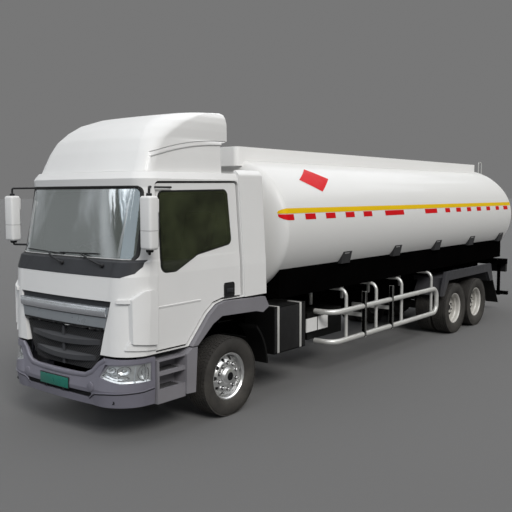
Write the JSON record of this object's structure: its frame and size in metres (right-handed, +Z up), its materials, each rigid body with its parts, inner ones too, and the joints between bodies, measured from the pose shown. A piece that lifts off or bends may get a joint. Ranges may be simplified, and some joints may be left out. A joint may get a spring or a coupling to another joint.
{
  "type": "tanker truck",
  "caption": "Rigid cab-over tanker truck with an oval tank, tilting cab, steering front wheels, twin rear wheels, hinged doors and tank lids.",
  "frame": {"origin": "on the ground midway along, across and under the truck", "axes": "+Z up, +Y towards the rear, +X towards the truck's left side"},
  "size_m": [2.7386, 12.0958, 3.812],
  "materials": {
    "black_paint": "satin",
    "black_plastic": "matte",
    "bracket_grey": "satin",
    "cast_dark": "rough",
    "cowl_grey": "satin",
    "gloss_dark": "gloss",
    "grey_paint": "satin",
    "grey_plastic": "matte",
    "lamp_glass": "clear",
    "rubber": "matte",
    "seat_cloth": "woven",
    "sign_white": "satin",
    "silver_tube": "satin",
    "tail_red": "gloss",
    "tank_white": "gloss",
    "tyre_rubber": "matte",
    "wheel_bright": "polished",
    "wheel_grey": "satin",
    "white_paint": "gloss",
    "window_glass": "tinted"
  },
  "bodies": {
    "chassis": {"chassis_frame": "black_paint", "bumper": "grey_paint", "headlamps": "lamp_glass", "lower_grille": "black_plastic", "entry_steps": "grey_plastic", "engine": "cast_dark", "front_axle": "cast_dark", "front_springs": "cast_dark", "drive_axles": "cast_dark", "bogie_springs": "cast_dark", "propshafts": "cast_dark", "front_mudguards": "black_plastic", "battery_box": "black_plastic", "fuel_tank": "silver_tube", "side_sign": "sign_white", "side_guards": "silver_tube", "rear_mudguards": "grey_plastic", "mud_flaps": "rubber", "underrun_guard": "black_paint", "tail_lamps": "tail_red", "tank_shell": "tank_white", "tank_cradle": "black_paint", "tank_skirts": "black_paint", "tank_brackets": "bracket_grey", "coaming": "tank_white", "manhole_collars": "silver_tube", "outlet_pipe": "silver_tube"},
    "cab": {"cab_shell": "white_paint", "cowl": "cowl_grey", "grille_panel": "gloss_dark", "windscreen": "window_glass", "roof_spoiler": "white_paint", "wheel_arches": "grey_plastic", "dashboard": "black_plastic", "seats": "seat_cloth", "bunk": "seat_cloth", "mirror_left": "white_paint", "mirror_right": "white_paint"},
    "steering_wheel": {"steering_wheel": "black_plastic"},
    "door_left": {"door_left": "white_paint", "door_glass_left": "window_glass"},
    "knuckle_left": {"knuckle_left": "cast_dark"},
    "front_wheel_left": {"front_wheel_left": "wheel_bright", "front_tyre_left": "tyre_rubber"},
    "rear_wheels_1_left": {"rear_wheels_1_left": "wheel_grey", "rear_tyres_1_left": "tyre_rubber"},
    "rear_wheels_2_left": {"rear_wheels_2_left": "wheel_grey", "rear_tyres_2_left": "tyre_rubber"},
    "door_right": {"door_right": "white_paint", "door_glass_right": "window_glass"},
    "knuckle_right": {"knuckle_right": "cast_dark"},
    "front_wheel_right": {"front_wheel_right": "wheel_bright", "front_tyre_right": "tyre_rubber"},
    "rear_wheels_1_right": {"rear_wheels_1_right": "wheel_grey", "rear_tyres_1_right": "tyre_rubber"},
    "rear_wheels_2_right": {"rear_wheels_2_right": "wheel_grey", "rear_tyres_2_right": "tyre_rubber"},
    "manhole_lid_1": {"manhole_lid_1": "silver_tube"},
    "manhole_lid_2": {"manhole_lid_2": "silver_tube"},
    "manhole_lid_3": {"manhole_lid_3": "silver_tube"}
  },
  "joints": [
    {"name": "steer_left", "type": "hinge", "parent": "chassis", "child": "knuckle_left", "pos_m": [0.868, -4.292, 0.5], "axis": [0, 0, 1], "range_deg": [-38, 38]},
    {"name": "steer_right", "type": "hinge", "parent": "chassis", "child": "knuckle_right", "pos_m": [-0.868, -4.292, 0.5], "axis": [0, 0, 1], "range_deg": [-38, 38]},
    {"name": "steering_wheel_turn", "type": "hinge", "parent": "cab", "child": "steering_wheel", "pos_m": [-0.56, -5.152, 2.08], "axis": [0, 0.5736, 0.8192], "range_deg": [-760, 760]},
    {"name": "cab_tilt", "type": "hinge", "parent": "chassis", "child": "cab", "pos_m": [0, -5.818, 1.135], "axis": [1, 0, 0], "range_deg": [0, 60]},
    {"name": "door_left_hinge", "type": "hinge", "parent": "cab", "child": "door_left", "pos_m": [1.164, -5.514, 1.9], "axis": [0, 0, -1], "range_deg": [0, 70]},
    {"name": "door_right_hinge", "type": "hinge", "parent": "cab", "child": "door_right", "pos_m": [-1.164, -5.514, 1.9], "axis": [0, 0, 1], "range_deg": [0, 70]},
    {"name": "front_left_spin", "type": "hinge", "parent": "knuckle_left", "child": "front_wheel_left", "pos_m": [1.043, -4.292, 0.5], "axis": [1, 0, 0], "continuous": true},
    {"name": "rear_1_left_spin", "type": "hinge", "parent": "chassis", "child": "rear_wheels_1_left", "pos_m": [0.902, 2.588, 0.5], "axis": [1, 0, 0], "continuous": true},
    {"name": "rear_2_left_spin", "type": "hinge", "parent": "chassis", "child": "rear_wheels_2_left", "pos_m": [0.902, 3.678, 0.5], "axis": [1, 0, 0], "continuous": true},
    {"name": "front_right_spin", "type": "hinge", "parent": "knuckle_right", "child": "front_wheel_right", "pos_m": [-1.043, -4.292, 0.5], "axis": [1, 0, 0], "continuous": true},
    {"name": "rear_1_right_spin", "type": "hinge", "parent": "chassis", "child": "rear_wheels_1_right", "pos_m": [-0.902, 2.588, 0.5], "axis": [1, 0, 0], "continuous": true},
    {"name": "rear_2_right_spin", "type": "hinge", "parent": "chassis", "child": "rear_wheels_2_right", "pos_m": [-0.902, 3.678, 0.5], "axis": [1, 0, 0], "continuous": true},
    {"name": "manhole_1_hinge", "type": "hinge", "parent": "chassis", "child": "manhole_lid_1", "pos_m": [0, -1.337, 3.412], "axis": [-1, 0, 0], "range_deg": [0, 110]},
    {"name": "manhole_2_hinge", "type": "hinge", "parent": "chassis", "child": "manhole_lid_2", "pos_m": [0, 1.563, 3.412], "axis": [-1, 0, 0], "range_deg": [0, 110]},
    {"name": "manhole_3_hinge", "type": "hinge", "parent": "chassis", "child": "manhole_lid_3", "pos_m": [0, 4.463, 3.412], "axis": [-1, 0, 0], "range_deg": [0, 110]}
  ],
  "couplings": [
    {"joint": "steer_right", "follows": "steer_left", "ratio": 1},
    {"joint": "steering_wheel_turn", "follows": "steer_left", "ratio": 20}
  ]
}
